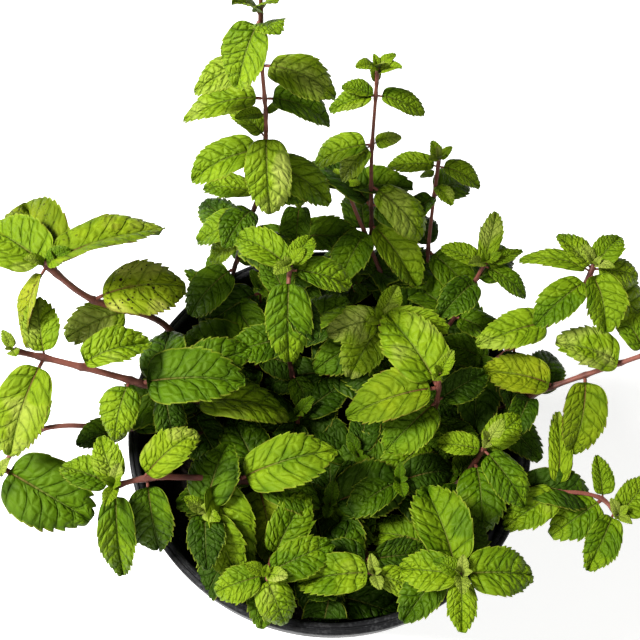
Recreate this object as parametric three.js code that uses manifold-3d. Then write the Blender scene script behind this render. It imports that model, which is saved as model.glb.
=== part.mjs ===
// A mint plant in a round black nursery pot: the pot, the compost in it, the stems that grow
// out of the compost and the larger leaves on them.  Millimetres, +Z up, origin at the middle
// of the pot's base.
import * as THREE from 'three';
import * as BufferGeometryUtils from 'three/addons/utils/BufferGeometryUtils.js';
import Module from 'manifold-3d';

const wasm = await Module();
wasm.setup();

// ---- driving dimensions ----
const potHeight = 205;
const rimRadius = 120;        // outside of the rolled rim
const rimWidth = 6.5;         // the lip seen from above
const rimBand = 20;           // height of the skirt that hangs from the lip
const skirtThickness = 1.6;
const baseRadius = 89;
const wall = 1.8;
const floorThickness = 2.5;
const potSegments = 64;
const drainHoles = 8;
const drainRadius = 4.5;
const drainCircle = 66;
const soilLevel = 172;
const soilSwell = 2;          // how far the compost rises and dips about its level
const soilRings = 6;
const gap = 0.3;              // clearance between pieces that touch
const stemBury = 8;           // how deep a stem stands in the compost
const stemSides = 8;
const stemStep = 12;          // length of stem between two rings of its surface
const stemFlat = 0.9;         // a stem is square with round corners: flat to corner radius
const leafSides = 8;
const leafRings = 10;
const leafBreadth = 0.58;     // usual width over length
const leafArch = 0.12;        // height of the arched midrib over length
const leafFold = 0.22;        // how far the two halves rise from the midrib, over half width
const leafHalfThickness = 0.55;
const petioleShare = 1 / leafRings;   // the part of a leaf's length that is its stalk
const petioleRadius = 0.75;

// ---- the stems and the leaves on them ----
// A stem's route runs from the top of the compost to its growing tip, and its radii are those
// of its foot and its tip.  A leaf is [how far up the stem, bearing of its tip, rise of its
// tip, length, roll, breadth]: 0 to 1, degrees from +X towards +Y, degrees above level,
// millimetres, degrees that the blade is turned about its midrib, and width over length.
const stems = {
  tall_back_left: {
    route: [[-68, 67, 172], [-71, 75, 205], [-65, 90, 240], [-53, 98, 290],
      [-48, 104, 340], [-49, 103, 395], [-48, 100, 452]],
    radii: [2.3, 1.4],
    leaves: [
      [0.89, -118, -58, 30, 0, 0.78], [0.79, -158, -12, 32], [0.79, -15, -8, 36, 0, 0.65],
      [0.71, -166, -12, 39, 0, 0.52], [0.71, -4, -17, 33, 0, 0.65], [0.63, -84, -48, 44],
      [0.58, -155, -14, 41], [0.55, -20, -22, 42],
    ],
  },
  back_centre: {
    route: [[20, 98, 172], [18, 106, 210], [14, 116, 250], [9, 125, 300], [7, 131, 340],
      [6, 134, 362]],
    radii: [2.1, 1.1],
    leaves: [[0.91, -8, -19, 26], [0.74, -165, -24, 34], [0.58, -35, -25, 43]],
  },
  back_right: {
    route: [[56, 80, 172], [55, 95, 205], [52, 111, 229], [50, 130, 265], [49, 138, 288]],
    radii: [1.9, 1.2],
    leaves: [[0.96, -12, -18, 27], [0.96, -177, -8, 28]],
  },
  back_reddish: {
    route: [[34, 78, 172], [31, 88, 203], [16, 106, 233], [1, 124, 257], [-4, 130, 268]],
    radii: [2.0, 1.3],
    leaves: [],
  },
  back_short: {
    route: [[-30, 84, 172], [-32, 98, 212], [-31, 112, 247], [-30, 118, 262]],
    radii: [1.9, 1.3],
    leaves: [],
  },
  middle_left: {
    route: [[-22, 28, 172], [-30, 38, 225], [-31, 48, 280], [-30, 52, 298]],
    radii: [2.1, 1.3],
    leaves: [[0.97, -3, -18, 33], [0.94, -88, -40, 46]],
  },
  left_upper: {
    route: [[-70, 26, 172], [-90, 35, 206], [-106, 44, 232], [-141, 40, 262],
      [-158, 44, 284], [-174, 52, 302]],
    radii: [2.2, 1.5],
    leaves: [
      [0.69, 20, -4, 53, 0, 0.66], [0.88, 26, -3, 64, -28], [0.87, 150, -6, 44, 0, 0.8],
    ],
  },
  left_middle: {
    route: [[-56, 8, 172], [-69, 4, 205], [-84, 0, 226], [-119, 0, 248], [-156, 0, 266],
      [-173, 0, 273]],
    radii: [2.3, 1.6],
    leaves: [[0.9, -106, -31, 54], [0.4, 0, -12, 61, -20, 0.5], [0.48, 34, 4, 51]],
  },
  left_lower: {
    route: [[-60, -8, 172], [-90, -12, 204], [-121, -18, 216], [-163, -25, 222],
      [-178, -40, 219], [-184, -52, 214]],
    radii: [2.3, 1.6],
    leaves: [[0.97, -26, -12, 55, 10, 0.75]],
  },
  left_front: {
    route: [[-16, -30, 172], [-40, -42, 213], [-70, -48, 232], [-97, -53, 240],
      [-113, -60, 243]],
    radii: [2.4, 1.6],
    leaves: [[0.99, -82, -38, 49, 0, 0.42], [0.5, 21, 10, 56]],
  },
  right_back: {
    route: [[58, 56, 172], [66, 65, 205], [74, 75, 236], [81, 86, 262]],
    radii: [1.9, 1.2],
    leaves: [],
  },
  right_upper: {
    route: [[72, 36, 172], [92, 44, 206], [108, 52, 231], [123, 58, 251], [132, 64, 271],
      [136, 76, 288]],
    radii: [2.1, 1.4],
    leaves: [[0.92, -139, -16, 37], [0.68, -160, -8, 43]],
  },
  right_middle: {
    route: [[70, 12, 172], [92, 16, 205], [110, 19, 220], [124, 23, 233], [148, 29, 250],
      [167, 34, 262], [179, 38, 268]],
    radii: [2.2, 1.5],
    leaves: [[0.59, 170, -9, 38, 0, 0.68], [0.71, -92, -29, 45], [0.97, 15, -10, 34]],
  },
  right_lower: {
    route: [[70, -22, 172], [96, -28, 203], [114, -32, 213], [135, -33, 216],
      [156, -34, 214], [165, -44, 214]],
    radii: [2.1, 1.4],
    leaves: [[0.69, 86, 2, 44, 0, 0.34], [0.98, -114, -18, 34]],
  },
  centre_right: {
    route: [[62, 0, 172], [60, 6, 212], [57, 9, 250], [55, 12, 264]],
    radii: [2.2, 1.4],
    leaves: [[0.87, 124, -9, 53, 0, 0.68], [0.87, -165, -18, 52]],
  },
  right_inner: {
    route: [[82, -20, 172], [85, -18, 205], [87, -15, 240]],
    radii: [2.0, 1.3],
    leaves: [[0.84, -50, -10, 38]],
  },
  front_right: {
    route: [[60, -56, 172], [65, -72, 208], [71, -90, 244]],
    radii: [2.1, 1.3],
    leaves: [[0.98, 7, -12, 40, 0, 0.66], [0.9, 110, -3, 44, 0, 0.72]],
  },
  front_centre: {
    route: [[24, -62, 172], [26, -76, 203], [28, -90, 226]],
    radii: [2.0, 1.3],
    leaves: [[0.96, -172, -9, 40]],
  },
  front_left: {
    route: [[-22, -64, 172], [-26, -80, 203], [-29, -95, 226]],
    radii: [2.0, 1.3],
    leaves: [],
  },
  left_inner: {
    route: [[-50, -42, 172], [-58, -54, 203], [-66, -66, 228]],
    radii: [2.0, 1.3],
    leaves: [],
  },
  middle_back: {
    route: [[22, 44, 172], [23, 50, 210], [24, 54, 240]],
    radii: [1.9, 1.2],
    leaves: [],
  },
};

const finishes = {
  pot: { color: 0x1b1c1d, roughness: 0.55 },
  soil: { color: 0x17110c, roughness: 0.95 },
  stem: { color: 0x5a2a24, roughness: 0.6 },
  leaf: { color: 0x5f8f1d, roughness: 0.5 },
};

function piece(name, geometry, finish) {
  const mesh = new THREE.Mesh(
    geometry, new THREE.MeshStandardMaterial({ ...finishes[finish], metalness: 0 }));
  mesh.name = name;
  return mesh;
}

// ---- closed geometry to solid and back, for the cuts ----
function toSolid(geometry) {
  const bare = geometry.clone();
  bare.deleteAttribute('normal');
  bare.deleteAttribute('uv');
  const merged = BufferGeometryUtils.mergeVertices(bare, 1e-4);
  return new wasm.Manifold(new wasm.Mesh({
    numProp: 3,
    vertProperties: new Float32Array(merged.attributes.position.array),
    triVerts: new Uint32Array(merged.index.array),
  }));
}

function toGeometry(solid) {
  const { vertProperties, triVerts } = solid.getMesh();
  const geometry = new THREE.BufferGeometry();
  geometry.setAttribute('position', new THREE.BufferAttribute(vertProperties, 3));
  geometry.setIndex(new THREE.BufferAttribute(triVerts, 1));
  return geometry;
}

// ---- the pot ----
// The inside of the wall leans outwards from the floor to the lip.
function insideRadius(z) {
  const low = baseRadius - wall;
  const high = rimRadius - rimWidth;
  return low + (high - low) * (z - floorThickness) / (potHeight - floorThickness);
}

function potProfile() {
  const lip = 2;                            // round of the lip and depth below its top
  const skirtFoot = potHeight - rimBand;
  const underLip = potHeight - 2 * lip;
  const profile = new THREE.Path();
  profile.moveTo(0, 0);
  profile.lineTo(baseRadius - lip, 0);
  profile.quadraticCurveTo(baseRadius, 0, baseRadius + 0.2, lip);
  profile.lineTo(insideRadius(underLip) + wall, underLip);
  profile.lineTo(rimRadius - skirtThickness, underLip);
  profile.lineTo(rimRadius - skirtThickness - 1, skirtFoot);
  profile.lineTo(rimRadius - 1, skirtFoot);
  profile.lineTo(rimRadius, underLip);
  profile.absarc(rimRadius - lip, potHeight - lip, lip, 0, Math.PI / 2);
  profile.quadraticCurveTo(rimRadius - rimWidth / 2, potHeight - lip, rimRadius - rimWidth + 1, potHeight);
  profile.lineTo(rimRadius - rimWidth, potHeight - 1);
  profile.lineTo(insideRadius(floorThickness), floorThickness);
  profile.lineTo(0, floorThickness);
  return profile.getPoints(4);
}

function makePot() {
  const shell = new THREE.LatheGeometry(potProfile(), potSegments).rotateX(Math.PI / 2);
  let pot = toSolid(shell);
  for (let i = 0; i < drainHoles; i++) {
    const angle = 2 * Math.PI * (i + 0.5) / drainHoles;
    const hole = new THREE.CylinderGeometry(drainRadius, drainRadius, 4 * floorThickness, 16)
      .rotateX(Math.PI / 2)
      .translate(drainCircle * Math.cos(angle), drainCircle * Math.sin(angle), 0);
    pot = pot.subtract(toSolid(hole));
  }
  return piece('pot', toGeometry(pot), 'pot');
}

// ---- a stem: a round-cornered square tube along its route ----
// Its foot stands straight down in the compost.
function stemCurve(route, bury) {
  const points = route.map((point) => new THREE.Vector3(...point));
  const foot = points[0].clone().setZ(points[0].z - bury);
  return new THREE.CatmullRomCurve3([foot, ...points], false, 'centripetal');
}

function stemGeometry({ route, radii }, bury = stemBury, spare = 0) {
  const curve = stemCurve(route, bury);
  const rings = Math.ceil(curve.getLength() / stemStep);
  const frames = curve.computeFrenetFrames(rings);
  const geometry = new THREE.CylinderGeometry(1, 1, 1, stemSides, rings);
  const vertex = new THREE.Vector3();
  const position = geometry.attributes.position;
  for (let i = 0; i < position.count; i++) {
    vertex.fromBufferAttribute(position, i);
    const ring = Math.round((vertex.y + 0.5) * rings);
    const corner = Math.round(Math.atan2(vertex.x, vertex.z) * stemSides / (2 * Math.PI)) % 2;
    const taper = THREE.MathUtils.lerp(radii[0], radii[1], ring / rings);
    const radius = taper * (corner === 0 ? 1 : stemFlat) + spare;
    const { x, z } = vertex;
    vertex.copy(curve.getPointAt(ring / rings))
      .addScaledVector(frames.normals[ring], radius * x)
      .addScaledVector(frames.binormals[ring], -radius * z);
    position.setXYZ(i, vertex.x, vertex.y, vertex.z);
  }
  return geometry;
}

// ---- the compost: it fills the pot to a gently uneven top, with a socket at each stem ----
function makeSoil() {
  const edge = insideRadius(soilLevel) - gap;
  const profile = [
    new THREE.Vector2(0, floorThickness + gap),
    new THREE.Vector2(insideRadius(floorThickness) - gap, floorThickness + gap),
  ];
  for (let i = 0; i <= soilRings; i++) {
    profile.push(new THREE.Vector2(edge * (1 - i / soilRings), soilLevel));
  }
  const geometry = new THREE.LatheGeometry(profile, potSegments / 2).rotateX(Math.PI / 2);
  const position = geometry.attributes.position;
  for (let i = 0; i < position.count; i++) {
    const [x, y, z] = [position.getX(i), position.getY(i), position.getZ(i)];
    if (z < soilLevel - 1 || Math.hypot(x, y) > edge - 1) continue;
    position.setZ(i, z + soilSwell * Math.sin(x / 17) * Math.cos(y / 21));
  }
  let soil = toSolid(geometry);
  for (const stem of Object.values(stems)) {
    soil = soil.subtract(toSolid(stemGeometry(stem, stemBury + gap, gap)));
  }
  return piece('soil', toGeometry(soil), 'soil');
}

// ---- a leaf: an arched blade, folded along its midrib, on a short stalk ----
// Half width along the blade, from 0 at the stalk through its widest third to 0 at the tip.
function bladeShape(v) {
  return Math.sin(Math.PI * v ** 0.72) ** 0.8;
}

function leafGeometry(stem, [at, bearing, rise, length, roll = 0, breadth = leafBreadth]) {
  const radians = Math.PI / 180;
  const flat = Math.cos(rise * radians);
  const chord = new THREE.Vector3(
    flat * Math.cos(bearing * radians), flat * Math.sin(bearing * radians),
    Math.sin(rise * radians));
  const side = new THREE.Vector3(chord.y, -chord.x, 0).normalize();
  const up = new THREE.Vector3().crossVectors(side, chord);

  // The stalk starts clear of the stem's side.
  const curve = stemCurve(stem.route, stemBury);
  const along = curve.getTangentAt(at);
  const away = chord.clone().addScaledVector(along, -chord.dot(along)).normalize();
  const stemRadius = THREE.MathUtils.lerp(...stem.radii, at);
  const root = curve.getPointAt(at).addScaledVector(away, stemRadius + gap);
  const tip = root.clone().addScaledVector(chord, length);
  const crown = root.clone().lerp(tip, 0.4).addScaledVector(up, 2 * leafArch * length);
  const midrib = new THREE.QuadraticBezierCurve3(root, crown, tip);

  const geometry = new THREE.SphereGeometry(1, leafSides, leafRings);
  const position = geometry.attributes.position;
  const vertex = new THREE.Vector3();
  for (let i = 0; i < position.count; i++) {
    vertex.fromBufferAttribute(position, i);
    const girth = Math.hypot(vertex.x, vertex.z);
    const u = 1 - Math.acos(THREE.MathUtils.clamp(vertex.y, -1, 1)) / Math.PI;
    const across = girth > 1e-6 ? vertex.x / girth : 0;
    const through = girth > 1e-6 ? vertex.z / girth : 0;
    const v = Math.max(0, (u - petioleShare) / (1 - petioleShare));
    const halfWidth = Math.max(petioleRadius, bladeShape(Math.min(v, 1)) * length * breadth / 2);
    const halfDepth = THREE.MathUtils.lerp(petioleRadius, leafHalfThickness, Math.min(1, 4 * v));
    const tangent = midrib.getTangent(u);
    const normal = new THREE.Vector3().crossVectors(side, tangent)
      .applyAxisAngle(tangent, roll * radians);
    const sideways = new THREE.Vector3().crossVectors(tangent, normal);
    vertex.copy(midrib.getPoint(u))
      .addScaledVector(sideways, across * halfWidth)
      .addScaledVector(normal, through * halfDepth + leafFold * Math.abs(across) * halfWidth * (v > 0));
    position.setXYZ(i, vertex.x, vertex.y, vertex.z);
  }
  return geometry;
}

const plant = new THREE.Group();
plant.add(makePot(), makeSoil());
for (const [place, stem] of Object.entries(stems)) {
  plant.add(piece(`stem_${place}`, stemGeometry(stem), 'stem'));
  stem.leaves.forEach((leaf, i) => {
    plant.add(piece(`leaf_${place}_${i + 1}`, leafGeometry(stem, leaf), 'leaf'));
  });
}

export default plant;
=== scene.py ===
import math
import random

import bmesh
import bpy
import numpy as np
from mathutils import Matrix, Quaternion, Vector, noise


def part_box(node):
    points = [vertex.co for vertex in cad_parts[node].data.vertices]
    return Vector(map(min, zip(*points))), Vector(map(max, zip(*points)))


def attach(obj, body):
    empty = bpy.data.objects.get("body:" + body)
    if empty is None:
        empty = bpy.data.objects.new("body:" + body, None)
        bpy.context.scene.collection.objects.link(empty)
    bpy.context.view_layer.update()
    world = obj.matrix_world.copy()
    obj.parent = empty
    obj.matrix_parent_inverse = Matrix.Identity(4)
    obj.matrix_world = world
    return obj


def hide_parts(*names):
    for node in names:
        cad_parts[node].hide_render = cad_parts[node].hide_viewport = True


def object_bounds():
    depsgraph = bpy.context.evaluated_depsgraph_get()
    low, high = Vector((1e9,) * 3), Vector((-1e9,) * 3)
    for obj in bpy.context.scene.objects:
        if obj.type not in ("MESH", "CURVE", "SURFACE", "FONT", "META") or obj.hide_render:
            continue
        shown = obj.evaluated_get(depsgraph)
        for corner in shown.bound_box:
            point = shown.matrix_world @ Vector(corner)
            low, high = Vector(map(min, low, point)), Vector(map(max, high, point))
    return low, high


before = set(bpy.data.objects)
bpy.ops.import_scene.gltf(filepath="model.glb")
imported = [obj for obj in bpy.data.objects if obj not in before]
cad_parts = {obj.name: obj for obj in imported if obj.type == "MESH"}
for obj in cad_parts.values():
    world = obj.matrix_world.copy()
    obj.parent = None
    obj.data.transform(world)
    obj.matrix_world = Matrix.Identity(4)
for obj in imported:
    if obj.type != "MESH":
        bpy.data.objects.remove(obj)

cad_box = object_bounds()

# ---- The stage ----
# A pale floor that glows a little, like a product table lit from below, under studio light.  The
# camera is high in front of the pot and looks down into it, with its head a little to one side.
pot_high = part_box("pot")[1]
rim_radius = pot_high.x
rim_top = pot_high.z
floor_size = 40.0  # from its middle to its edges
floor_glow = 0.75  # how strongly it shines in its own colour
room_light = 0.12  # the dim room's light on the plant
backdrop_glow = 0.62  # how much paler its far wall looks


def feed(tree, node, feeds):
    """Links a node's inputs to sockets, or sets them to values."""
    for name, value in feeds.items():
        if isinstance(value, bpy.types.NodeSocket):
            tree.links.new(value, node.inputs[name])
        else:
            node.inputs[name].default_value = value


def add(tree, kind, feeds=None, **settings):
    """A new node, with its settings made and its inputs fed."""
    made = tree.nodes.new(kind)
    for name, value in settings.items():
        setattr(made, name, value)
    feed(tree, made, feeds or {})
    return made


def new_material(name):
    """A material, its node tree and its Principled BSDF."""
    material = bpy.data.materials.new(name)
    material.use_nodes = True
    return material, material.node_tree, material.node_tree.nodes["Principled BSDF"]


def maths(tree, operation, *values):
    return add(tree, "ShaderNodeMath", dict(enumerate(values)), operation=operation).outputs[0]


def times(tree, first, second):
    return maths(tree, "MULTIPLY", first, second)


def remap(tree, value, low, high, start=0.0, end=1.0):
    """value's smooth way from low to high, as a way from start to end."""
    feeds = {0: value, 1: low, 2: high, 3: start, 4: end}
    return add(tree, "ShaderNodeMapRange", feeds, interpolation_type="SMOOTHSTEP").outputs[0]


def mix(tree, factor, first, second, blend="MIX"):
    feeds = {0: factor, 6: first, 7: second}  # the mix node's sockets for colours
    return add(tree, "ShaderNodeMix", feeds, data_type="RGBA", blend_type=blend).outputs[2]


def ramp(tree, factor, stops):
    """A colour for each value of factor, from stops of (place, colour)."""
    made = add(tree, "ShaderNodeValToRGB", {0: factor})
    elements = made.color_ramp.elements
    while len(elements) < len(stops):
        elements.new(0.5)
    for element, (place, colour) in zip(elements, stops):
        element.position = place
        element.color = (*colour, 1)
    return made.outputs[0]


def object_place(tree):
    return add(tree, "ShaderNodeTexCoord").outputs["Object"]


def cloud(tree, scale, detail=3.0, place=None):
    """Noise from 0 to 1, in the piece's own coordinates."""
    feeds = {"Vector": place or object_place(tree), "Scale": scale, "Detail": detail}
    return add(tree, "ShaderNodeTexNoise", feeds).outputs["Fac"]


def bump(tree, height, distance, strength=1.0):
    feeds = {"Height": height, "Distance": distance, "Strength": strength}
    return add(tree, "ShaderNodeBump", feeds).outputs["Normal"]


def mesh_from(bm, name):
    """The bmesh as a mesh of this name."""
    mesh = bpy.data.meshes.new(name)
    bm.to_mesh(mesh)
    bm.free()
    return mesh


def new_piece(name, mesh, *materials):
    made = bpy.data.objects.new(name, mesh)
    bpy.context.scene.collection.objects.link(made)
    for material in materials:
        made.data.materials.append(material)
    return made


bm = bmesh.new()
bmesh.ops.create_grid(bm, x_segments=1, y_segments=1, size=floor_size)
floor_mesh = mesh_from(bm, "floor")
floor_paint, tree, shader = new_material("pale floor")
floor_tint = mix(tree, cloud(tree, 3.0), (0.86, 0.86, 0.85, 1), (0.9, 0.9, 0.895, 1))
feed(tree, shader, {"Base Color": floor_tint, "Roughness": 0.8, "Emission Color": floor_tint,
                    "Emission Strength": floor_glow})
new_piece("floor", floor_mesh, floor_paint)

world = bpy.data.worlds.new("studio")
world.use_nodes = True
tree = world.node_tree
seen = add(tree, "ShaderNodeLightPath").outputs["Is Camera Ray"]
strength = maths(tree, "MULTIPLY_ADD", seen, backdrop_glow, room_light)
feed(tree, tree.nodes["Background"], {"Color": (1.0, 0.99, 0.97, 1), "Strength": strength})
bpy.context.scene.world = world
bpy.context.scene.view_settings.view_transform = "Standard"

softboxes = {  # place, power in watts, width
    "key": ((-1.05, -0.05, 1.35), 52.0, 0.45),
    "fill": ((1.2, -0.9, 1.1), 3.0, 1.2),
    "front": ((-0.3, -1.2, 1.4), 9.0, 0.8),
}
for name, (place, power, width) in softboxes.items():
    data = bpy.data.lights.new(name, "AREA")
    data.energy = power
    data.size = width
    lamp = bpy.data.objects.new(name, data)
    lamp.location = place
    towards_pot = Vector((0, 0, rim_top)) - lamp.location
    lamp.rotation_euler = towards_pot.to_track_quat("-Z", "Y").to_euler()
    bpy.context.scene.collection.objects.link(lamp)

camera_aim = Vector((-0.1 * rim_radius, 0.567 * rim_radius, rim_top))
camera_height = math.radians(63.1)
camera_distance = 0.555
camera_lean = math.radians(5)
camera_view = math.radians(40)
back = Vector((0, -math.cos(camera_height), math.sin(camera_height)))
camera = bpy.data.objects.new("camera", bpy.data.cameras.new("camera"))
camera.data.angle = camera_view
camera.location = camera_aim + camera_distance * back
camera.rotation_mode = "QUATERNION"
camera.rotation_quaternion = (-back).to_track_quat("-Z", "Y") @ Quaternion((0, 0, 1), camera_lean)
bpy.context.scene.collection.objects.link(camera)
bpy.context.scene.camera = camera

# ---- The pot ----
# A thin black polypropylene nursery pot, moulded in one shot: a tapered wall, a lip that rolls
# over into a hanging skirt, a radiused foot and drain holes round the floor.
pot_turns = 160
base_radius = 0.089
pot_wall = 0.0018
lip_width = 0.0065
lip_round = 0.002
skirt_height = 0.020
skirt_thickness = 0.0016
floor_thickness = 0.0025
foot_round = 0.004
bead_places = (0.3, 0.62)  # shares of the height, for two moulded beads round the wall
bead_depth = 0.0006
groove_depth = 0.0008  # a shallow groove round the top of the lip
inner_lip = rim_radius - lip_width


def inside_radius(z):
    low = base_radius - pot_wall
    return low + (inner_lip - low) * (z - floor_thickness) / (rim_top - floor_thickness)


def arc(centre, radius, start, end, steps):
    """Points on an arc in the half plane of radius and height, with angles in degrees."""
    angles = [math.radians(start + (end - start) * i / steps) for i in range(steps + 1)]
    return [(centre[0] + radius * math.cos(a), centre[1] + radius * math.sin(a)) for a in angles]


def spun(bm, outline, turns):
    """Turns an outline of (radius, height) points once round the upright axis."""
    verts = [bm.verts.new((radius, 0, height)) for radius, height in outline]
    edges = [bm.edges.new(pair) for pair in zip(verts, verts[1:])]
    bmesh.ops.spin(bm, geom=verts + edges, cent=(0, 0, 0), axis=(0, 0, 1),
                   angle=2 * math.pi, steps=turns, use_merge=True)
    bmesh.ops.remove_doubles(bm, verts=bm.verts[:], dist=1e-6)
    bmesh.ops.recalc_face_normals(bm, faces=bm.faces[:])


def smooth(mesh, angle=35):
    mesh.shade_smooth()
    mesh.set_sharp_from_angle(angle=math.radians(angle))


def pot_outline():
    """Up the outside from the middle of the base, over the lip and down the inside."""
    skirt_foot = rim_top - skirt_height
    under_lip = rim_top - 2 * lip_round
    outline = [(0, 0), (0.03, 0), (0.06, 0)]
    outline += arc((base_radius - foot_round, foot_round), foot_round, -90, 0, 6)
    for share in bead_places:
        height = share * rim_top
        crest = inside_radius(height) + pot_wall + bead_depth
        for rise in (-0.004, -0.002, -0.0006, 0.0006, 0.002, 0.004):
            wall = inside_radius(height + rise) + pot_wall
            outline.append((crest if abs(rise) < 0.001 else wall, height + rise))
    outline += [
        (inside_radius(under_lip) + pot_wall, under_lip),
        (rim_radius - skirt_thickness, under_lip),
        (rim_radius - skirt_thickness - 0.001, skirt_foot + 0.0004),
        (rim_radius - skirt_thickness / 2 - 0.001, skirt_foot),
        (rim_radius - 0.001, skirt_foot + 0.0004),
        (rim_radius - 0.0004, rim_top - 0.6 * skirt_height),
    ]
    outline += arc((rim_radius - lip_round, rim_top - lip_round), lip_round, 0, 90, 8)
    outline += [(rim_radius - 0.0026, rim_top), (rim_radius - 0.0030, rim_top - groove_depth),
                (rim_radius - 0.0036, rim_top - groove_depth), (rim_radius - 0.0040, rim_top)]
    outline += arc((inner_lip + lip_round, rim_top - lip_round), lip_round, 90, 170, 8)
    outline += [(inside_radius(share * rim_top), share * rim_top) for share in (0.9, 0.6, 0.3)]
    outline += [(inside_radius(0.005), 0.005)]
    outline += [(radius, floor_thickness)
                for radius in (inside_radius(floor_thickness) - 0.002, 0.06, 0.03, 0)]
    return outline


def drain_cutter(holes=8, circle=0.066, radius=0.0045):
    bm = bmesh.new()
    for i in range(holes):
        angle = 2 * math.pi * (i + 0.5) / holes
        place = Matrix.Translation((circle * math.cos(angle), circle * math.sin(angle), 0))
        bmesh.ops.create_cone(bm, cap_ends=True, segments=24, radius1=radius, radius2=radius,
                              depth=4 * floor_thickness, matrix=place)
    return new_piece("drain_cutter", mesh_from(bm, "drain holes"))


def make_pot():
    bm = bmesh.new()
    spun(bm, pot_outline(), pot_turns)
    shell = new_piece("nursery_pot", mesh_from(bm, "pot shell"))
    cutter = drain_cutter()
    cut = shell.modifiers.new("drain holes", "BOOLEAN")
    cut.operation = "DIFFERENCE"
    cut.object = cutter
    depsgraph = bpy.context.evaluated_depsgraph_get()
    drilled = bpy.data.meshes.new_from_object(shell.evaluated_get(depsgraph))
    shell.modifiers.clear()
    shell.data = drilled
    bpy.data.objects.remove(cutter)
    smooth(drilled)
    return shell


def pot_plastic():
    material, tree, shader = new_material("black nursery plastic")
    place = object_place(tree)
    height = add(tree, "ShaderNodeSeparateXYZ", {0: place}).outputs["Z"]
    grime = cloud(tree, 28.0, 6.0, place)
    scuff_stretch = add(tree, "ShaderNodeMapping", {"Vector": place, "Scale": (40, 40, 700)})
    scuffs = remap(tree, cloud(tree, 1.0, 4.0, scuff_stretch.outputs[0]), 0.56, 0.74)
    on_lip = remap(tree, height, rim_top - 0.006, rim_top - 0.0005)
    speckles = remap(tree, cloud(tree, 700.0, 3.0, place), 0.5, 0.62)
    speckled = times(tree, on_lip, speckles)
    rubbed = times(tree, speckled, remap(tree, grime, 0.3, 0.6))
    black = mix(tree, grime, (0.003, 0.003, 0.0035, 1), (0.009, 0.009, 0.010, 1))
    grey = mix(tree, rubbed, black, (0.034, 0.034, 0.035, 1))
    dusty = times(tree, scuffs, 0.35)
    feed(tree, shader, {
        "Base Color": mix(tree, dusty, grey, (0.028, 0.026, 0.024, 1)),
        "Roughness": remap(tree, grime, 0.3, 0.7, 0.42, 0.58),
        "Normal": bump(tree, cloud(tree, 1400.0, 2.0, place), 0.00008),
        "Specular IOR Level": 0.2,
    })
    return material


pot = make_pot()
pot.data.materials.append(pot_plastic())
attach(pot, "root")
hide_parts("pot")

# ---- The compost ----
# Moist bark and peat compost, poured in and pressed down a little.  It ends a good 30 mm under the
# lip, and its top is loose crumbs and small chips of bark.
soil_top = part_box("soil")[1].z
soil_level = soil_top - 0.002
soil_edge = inside_radius(soil_level) - 0.0003
crumb_count = 1100
crumb_bed = 0.97 * soil_edge  # the crumbs keep this close to the pot's middle
soil_rings = 44
soil_turns = 120


def soil_height(x, y):
    place = Vector((x, y, 0))
    swell = 0.0022 * noise.noise(place * 30)
    return soil_level - 0.0008 + swell + 0.0012 * noise.fractal(place * 160, 0.8, 2.1, 4)


def make_soil():
    foot = floor_thickness + 0.0005
    outline = [(0, foot), (inside_radius(foot) - 0.0005, foot)]
    outline += [(soil_edge * (1 - i / soil_rings), soil_level) for i in range(soil_rings + 1)]
    bm = bmesh.new()
    spun(bm, outline, soil_turns)
    for vert in bm.verts:
        if vert.co.z > soil_level - 0.001:
            vert.co.z = soil_height(vert.co.x, vert.co.y)
    mesh = mesh_from(bm, "compost")
    smooth(mesh, 60)
    return new_piece("compost", mesh)


def make_crumbs():
    rng = random.Random(7)
    bm = bmesh.new()
    for _ in range(crumb_count):
        radius = crumb_bed * math.sqrt(rng.random())
        angle = rng.uniform(0, 2 * math.pi)
        x, y = radius * math.cos(angle), radius * math.sin(angle)
        size = 0.0007 + 0.0022 * rng.random() ** 2
        shape = Matrix.Diagonal((rng.uniform(1, 2), rng.uniform(0.7, 1), rng.uniform(0.4, 0.9), 1))
        turn = Quaternion((rng.random(), rng.random(), rng.random()), rng.uniform(0, 6)).to_matrix()
        place = Matrix.Translation((x, y, soil_height(x, y) + 0.2 * size))
        made = bmesh.ops.create_icosphere(bm, subdivisions=1, radius=size,
                                          matrix=place @ turn.to_4x4() @ shape)
        for vert in made["verts"]:
            vert.co += 0.35 * size * noise.noise_vector(vert.co * 900)
    return new_piece("compost_crumbs", mesh_from(bm, "compost crumbs"))


def compost_stuff():
    material, tree, shader = new_material("moist compost")
    place = object_place(tree)
    clumps = cloud(tree, 90.0, 6.0, place)
    fibres = cloud(tree, 700.0, 4.0, place)
    dark = mix(tree, clumps, (0.0025, 0.0018, 0.0012, 1), (0.013, 0.008, 0.005, 1))
    bark = remap(tree, fibres, 0.55, 0.75)
    feed(tree, shader, {
        "Base Color": mix(tree, bark, dark, (0.030, 0.018, 0.010, 1)),
        "Roughness": remap(tree, clumps, 0.35, 0.65, 0.6, 0.95),
        "Normal": bump(tree, fibres, 0.0006),
        "Specular IOR Level": 0.2,
    })
    return material


compost_material = compost_stuff()
for made in (make_soil(), make_crumbs()):
    made.data.materials.append(compost_material)
    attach(made, "root")
    if made.name == "compost":
        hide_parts("soil")

# ---- The stems ----
# Square purple-brown mint stems, thickest at the foot, with a slight knot where each pair of
# leaves stands.  Each follows the middle line of its stem in the frame.
stem_names = sorted(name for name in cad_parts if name.startswith("stem_"))
leaf_names = sorted(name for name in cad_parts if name.startswith("leaf_"))
frame_sides = 8  # points round each ring of the frame's stems and leaves
stem_sides = 20
stem_step = 0.0025
knot_length = 0.0022
knot_swell = 0.35
usual_slimness = 0.8  # a real stem's thickness over the frame's
slimness = {"tall_back_left": 0.6, "left_upper": 1.0, "left_middle": 1.0, "left_front": 0.95}
cut_short = {"left_upper": 0.9}  # a pinched-out tip: the share of its line where the stem ends
squareness = 3.4  # 2 is round, and more is squarer


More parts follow.
